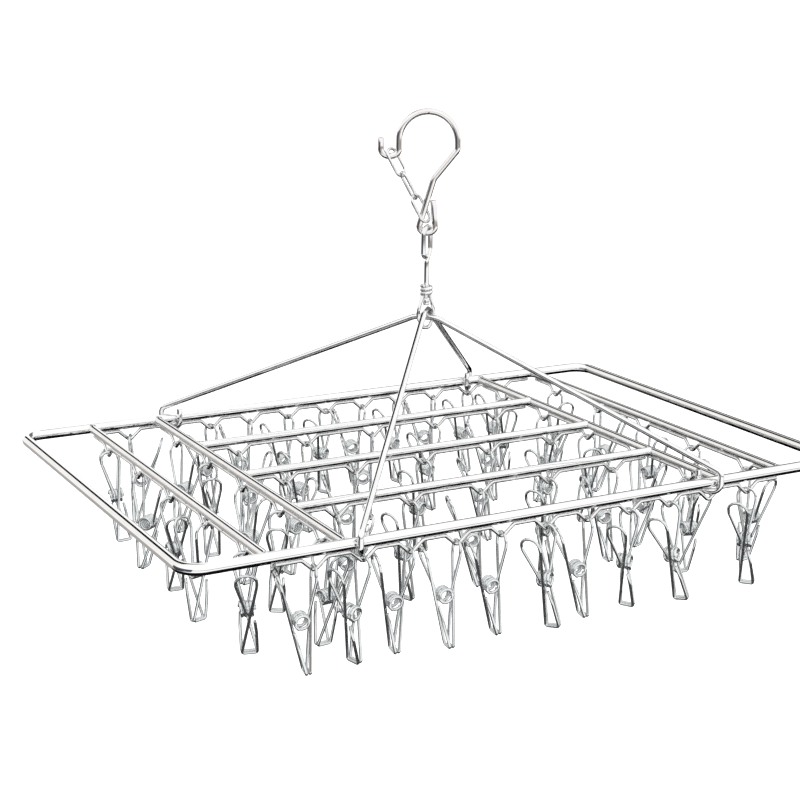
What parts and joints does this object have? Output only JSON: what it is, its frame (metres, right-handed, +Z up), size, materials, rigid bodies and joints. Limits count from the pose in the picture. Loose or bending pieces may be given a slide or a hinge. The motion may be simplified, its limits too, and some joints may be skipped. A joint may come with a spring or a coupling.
{
  "type": "hanging clothes drying rack",
  "caption": "Rectangular steel frame with cross bars and wave-bent rails, spring pegs hanging from their dips, and a swivel hook with a keeper chain.",
  "frame": {"origin": "the point inside the top of the hook that rests on the rail", "axes": "+X along the frame, +Y across it, away from the front edge, +Z up"},
  "size_m": [0.538, 0.3746, 0.3443],
  "materials": {
    "frame_tube": "polished stainless steel tube",
    "bar_rod": "polished stainless steel rod",
    "rail_wire": "polished stainless steel wire",
    "hanger_wire": "polished stainless steel wire",
    "swivel_steel": "bright stainless steel",
    "hook_steel": "polished stainless steel wire",
    "chain_steel": "bright stainless steel wire",
    "peg_wire": "bright stainless steel spring wire"
  },
  "bodies": {
    "hook": {"top_hook": "hook_steel"},
    "keeper_chain": {"keeper_link_1": "chain_steel", "keeper_link_2": "chain_steel", "keeper_link_3": "chain_steel"},
    "rod": {"swivel_rod": "swivel_steel"},
    "eye": {"swivel_eye": "swivel_steel"},
    "rack": {"outer_frame": "frame_tube", "cross_bar_1": "bar_rod", "cross_bar_2": "bar_rod", "cross_bar_3": "bar_rod", "cross_bar_4": "bar_rod", "inner_bar_1": "bar_rod", "inner_bar_2": "bar_rod", "inner_bar_3": "bar_rod", "edge_rail_near": "rail_wire", "edge_rail_far": "rail_wire", "cross_rail_1": "rail_wire", "cross_rail_2": "rail_wire", "cross_rail_3": "rail_wire", "cross_rail_4": "rail_wire", "inner_rail_1": "rail_wire", "inner_rail_2": "rail_wire", "inner_rail_3": "rail_wire", "hanger_wire_1": "hanger_wire", "hanger_wire_2": "hanger_wire"},
    "peg_01": {"peg_01_hung_arm": "peg_wire"},
    "peg_01_free": {"peg_01_free_arm": "peg_wire"},
    "peg_02": {"peg_02_hung_arm": "peg_wire"},
    "peg_02_free": {"peg_02_free_arm": "peg_wire"},
    "peg_03": {"peg_03_hung_arm": "peg_wire"},
    "peg_03_free": {"peg_03_free_arm": "peg_wire"},
    "peg_04": {"peg_04_hung_arm": "peg_wire"},
    "peg_04_free": {"peg_04_free_arm": "peg_wire"},
    "peg_05": {"peg_05_hung_arm": "peg_wire"},
    "peg_05_free": {"peg_05_free_arm": "peg_wire"},
    "peg_06": {"peg_06_hung_arm": "peg_wire"},
    "peg_06_free": {"peg_06_free_arm": "peg_wire"},
    "peg_07": {"peg_07_hung_arm": "peg_wire"},
    "peg_07_free": {"peg_07_free_arm": "peg_wire"},
    "peg_08": {"peg_08_hung_arm": "peg_wire"},
    "peg_08_free": {"peg_08_free_arm": "peg_wire"},
    "peg_09": {"peg_09_hung_arm": "peg_wire"},
    "peg_09_free": {"peg_09_free_arm": "peg_wire"},
    "peg_10": {"peg_10_hung_arm": "peg_wire"},
    "peg_10_free": {"peg_10_free_arm": "peg_wire"},
    "far_row": {"far_pegs": "peg_wire"},
    "cross_row_1": {"cross_pegs_1": "peg_wire"},
    "cross_row_2": {"cross_pegs_2": "peg_wire"},
    "cross_row_3": {"cross_pegs_3": "peg_wire"},
    "cross_row_4": {"cross_pegs_4": "peg_wire"},
    "inner_row_1": {"inner_pegs_1": "peg_wire"},
    "inner_row_2": {"inner_pegs_2": "peg_wire"},
    "inner_row_3": {"inner_pegs_3": "peg_wire"}
  },
  "joints": [
    {"name": "keeper_turn", "type": "hinge", "parent": "hook", "child": "keeper_chain", "pos_m": [-0.02501, 0.01387, -0.0253], "axis": [0.4157, -0.2304, -0.8798], "range_deg": [-30, 2]},
    {"name": "rod_swing", "type": "hinge", "parent": "hook", "child": "rod", "pos_m": [0, 0, -0.0874], "axis": [0.8746, -0.4848, 0], "range_deg": [-15, 15]},
    {"name": "rack_spin", "type": "hinge", "parent": "rod", "child": "eye", "pos_m": [0, 0, -0.1254], "axis": [0, 0, 1], "continuous": true},
    {"name": "rack_tilt", "type": "hinge", "parent": "eye", "child": "rack", "pos_m": [0, 0, -0.1536], "axis": [1, 0, 0], "range_deg": [-8, 8]},
    {"name": "peg_01_swing", "type": "hinge", "parent": "rack", "child": "peg_01", "pos_m": [-0.177, -0.17, -0.2676], "axis": [1, 0, 0], "range_deg": [-32, 3]},
    {"name": "peg_01_open", "type": "hinge", "parent": "peg_01", "child": "peg_01_free", "pos_m": [-0.186, -0.16825, -0.30206], "axis": [0.1908, 0.9816, 0], "range_deg": [0, 20], "stiffness_Nm_per_rad": 0.12, "springref_deg": -22.92},
    {"name": "peg_02_swing", "type": "hinge", "parent": "rack", "child": "peg_02", "pos_m": [-0.1416, -0.17, -0.2676], "axis": [1, 0, 0], "range_deg": [-20, 3]},
    {"name": "peg_02_open", "type": "hinge", "parent": "peg_02", "child": "peg_02_free", "pos_m": [-0.15041, -0.17058, -0.30203], "axis": [-0.2756, 0.9599, 0.0503], "range_deg": [0, 20], "stiffness_Nm_per_rad": 0.12, "springref_deg": -22.92},
    {"name": "peg_03_swing", "type": "hinge", "parent": "rack", "child": "peg_03", "pos_m": [-0.1062, -0.17, -0.2676], "axis": [1, 0, 0], "range_deg": [-32, 12]},
    {"name": "peg_03_open", "type": "hinge", "parent": "peg_03", "child": "peg_03_free", "pos_m": [-0.11724, -0.16692, -0.30147], "axis": [0.1045, 0.9932, 0.052], "range_deg": [0, 20], "stiffness_Nm_per_rad": 0.12, "springref_deg": -22.92},
    {"name": "peg_04_swing", "type": "hinge", "parent": "rack", "child": "peg_04", "pos_m": [-0.0708, -0.17, -0.2676], "axis": [1, 0, 0], "range_deg": [-32, 12]},
    {"name": "peg_04_open", "type": "hinge", "parent": "peg_04", "child": "peg_04_free", "pos_m": [-0.08113, -0.17158, -0.30176], "axis": [0.1564, 0.9839, -0.0861], "range_deg": [0, 20], "stiffness_Nm_per_rad": 0.12, "springref_deg": -22.92},
    {"name": "peg_05_swing", "type": "hinge", "parent": "rack", "child": "peg_05", "pos_m": [-0.0354, -0.17, -0.2676], "axis": [1, 0, 0], "range_deg": [-32, 12]},
    {"name": "peg_05_open", "type": "hinge", "parent": "peg_05", "child": "peg_05_free", "pos_m": [-0.04257, -0.16794, -0.30249], "axis": [0.1045, 0.9939, 0.0347], "range_deg": [0, 20], "stiffness_Nm_per_rad": 0.12, "springref_deg": -22.92},
    {"name": "peg_06_swing", "type": "hinge", "parent": "rack", "child": "peg_06", "pos_m": [0, -0.17, -0.2676], "axis": [1, 0, 0], "range_deg": [-32, 12]},
    {"name": "peg_06_open", "type": "hinge", "parent": "peg_06", "child": "peg_06_free", "pos_m": [-0.00403, -0.17741, -0.30187], "axis": [-0.4695, 0.8744, -0.1229], "range_deg": [0, 20], "stiffness_Nm_per_rad": 0.12, "springref_deg": -22.92},
    {"name": "peg_07_swing", "type": "hinge", "parent": "rack", "child": "peg_07", "pos_m": [0.0354, -0.17, -0.2676], "axis": [1, 0, 0], "range_deg": [-32, 12]},
    {"name": "peg_07_open", "type": "hinge", "parent": "peg_07", "child": "peg_07_free", "pos_m": [0.02891, -0.16843, -0.30264], "axis": [0.1392, 0.9901, 0.0173], "range_deg": [0, 20], "stiffness_Nm_per_rad": 0.12, "springref_deg": -22.92},
    {"name": "peg_08_swing", "type": "hinge", "parent": "rack", "child": "peg_08", "pos_m": [0.0708, -0.17, -0.2676], "axis": [1, 0, 0], "range_deg": [-32, 12]},
    {"name": "peg_08_open", "type": "hinge", "parent": "peg_08", "child": "peg_08_free", "pos_m": [0.06693, -0.17242, -0.30246], "axis": [-0.5299, 0.848, 0], "range_deg": [0, 20], "stiffness_Nm_per_rad": 0.12, "springref_deg": -22.92},
    {"name": "peg_09_swing", "type": "hinge", "parent": "rack", "child": "peg_09", "pos_m": [0.1062, -0.17, -0.2676], "axis": [1, 0, 0], "range_deg": [-32, 12]},
    {"name": "peg_09_open", "type": "hinge", "parent": "peg_09", "child": "peg_09_free", "pos_m": [0.1051, -0.1772, -0.30213], "axis": [-0.454, 0.8775, -0.1547], "range_deg": [0, 20], "stiffness_Nm_per_rad": 0.12, "springref_deg": -22.92},
    {"name": "peg_10_swing", "type": "hinge", "parent": "rack", "child": "peg_10", "pos_m": [0.177, -0.17, -0.2676], "axis": [1, 0, 0], "range_deg": [-32, 3]},
    {"name": "peg_10_open", "type": "hinge", "parent": "peg_10", "child": "peg_10_free", "pos_m": [0.17321, -0.1752, -0.30215], "axis": [-0.5592, 0.827, -0.0578], "range_deg": [0, 20], "stiffness_Nm_per_rad": 0.12, "springref_deg": -22.92},
    {"name": "far_row_swing", "type": "hinge", "parent": "rack", "child": "far_row", "pos_m": [0, 0.17, -0.2676], "axis": [1, 0, 0], "range_deg": [-12, 20]},
    {"name": "cross_row_1_swing", "type": "hinge", "parent": "rack", "child": "cross_row_1", "pos_m": [-0.209, 0, -0.2668], "axis": [0, 1, 0], "range_deg": [-12, 12]},
    {"name": "cross_row_2_swing", "type": "hinge", "parent": "rack", "child": "cross_row_2", "pos_m": [-0.153, 0, -0.2668], "axis": [0, 1, 0], "range_deg": [-12, 12]},
    {"name": "cross_row_3_swing", "type": "hinge", "parent": "rack", "child": "cross_row_3", "pos_m": [0.153, 0, -0.2668], "axis": [0, 1, 0], "range_deg": [-12, 12]},
    {"name": "cross_row_4_swing", "type": "hinge", "parent": "rack", "child": "cross_row_4", "pos_m": [0.209, 0, -0.2668], "axis": [0, 1, 0], "range_deg": [-12, 12]},
    {"name": "inner_row_1_swing", "type": "hinge", "parent": "rack", "child": "inner_row_1", "pos_m": [0, -0.085, -0.2668], "axis": [1, 0, 0], "range_deg": [-20, 20]},
    {"name": "inner_row_2_swing", "type": "hinge", "parent": "rack", "child": "inner_row_2", "pos_m": [0, 0, -0.2668], "axis": [1, 0, 0], "range_deg": [-20, 20]},
    {"name": "inner_row_3_swing", "type": "hinge", "parent": "rack", "child": "inner_row_3", "pos_m": [0, 0.085, -0.2668], "axis": [1, 0, 0], "range_deg": [-20, 20]}
  ]
}
